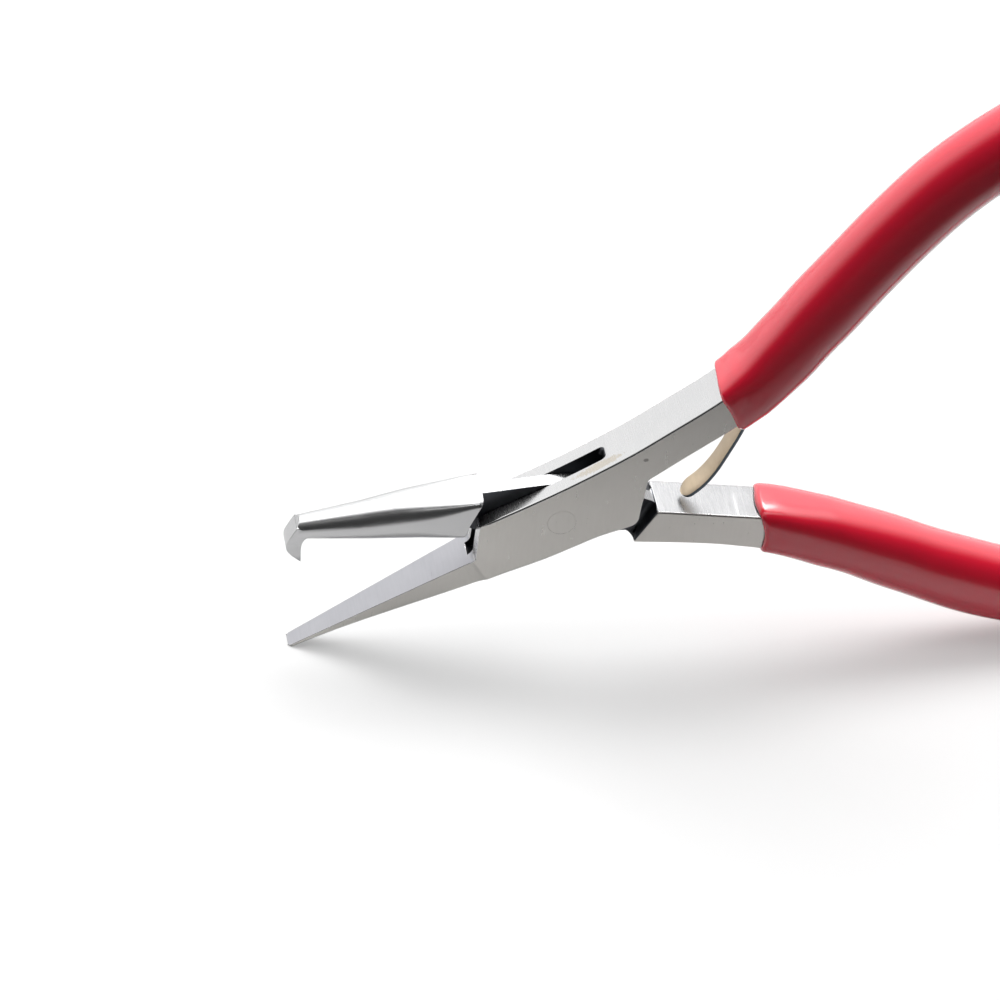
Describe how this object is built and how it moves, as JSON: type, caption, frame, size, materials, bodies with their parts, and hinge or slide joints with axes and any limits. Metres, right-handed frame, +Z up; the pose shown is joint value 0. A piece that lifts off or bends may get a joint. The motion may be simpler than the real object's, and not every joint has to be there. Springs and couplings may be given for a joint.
{
  "type": "needle nose pliers",
  "caption": "Box-joint needle nose pliers with a hooked round upper jaw, a flat tapered lower jaw, a leaf spring and red dipped vinyl grips, standing open.",
  "frame": {"origin": "centre of the bounding box in X and Y, on the surface that the lower jaw's tip and the lower grip's belly stand on", "axes": "+X from the jaws to the handles, +Y along the joint rivet, away from the front cheek, +Z up"},
  "size_m": [0.139, 0.0096, 0.0987],
  "materials": {
    "satin_steel": "satin, fine cross-brushed stainless",
    "polished_steel": "mirror-polished round jaw, brushed arm",
    "spring_steel": "straw-tempered spring strip, satin",
    "grip_vinyl": "glossy dipped vinyl"
  },
  "bodies": {
    "box_side": {"box_half": "satin_steel", "joint_rivet": "satin_steel", "spring_foot": "spring_steel", "spring_rivet": "satin_steel", "upper_grip": "grip_vinyl"},
    "tongue_side": {"tongue_half": "polished_steel", "lower_grip": "grip_vinyl"},
    "spring_free_end": {"spring_blade": "spring_steel"}
  },
  "joints": [
    {"name": "jaw_pivot", "type": "hinge", "parent": "box_side", "child": "tongue_side", "pos_m": [-0.03157, 0, 0.02351], "axis": [0, -1, 0], "range_deg": [0, 18], "stiffness_Nm_per_rad": 1.2},
    {"name": "spring_flex", "type": "hinge", "parent": "box_side", "child": "spring_free_end", "pos_m": [-0.00679, 0, 0.04036], "axis": [0, 1, 0], "range_deg": [0, 25.5]}
  ],
  "couplings": [
    {"joint": "spring_flex", "follows": "jaw_pivot", "ratio": 1.4}
  ]
}
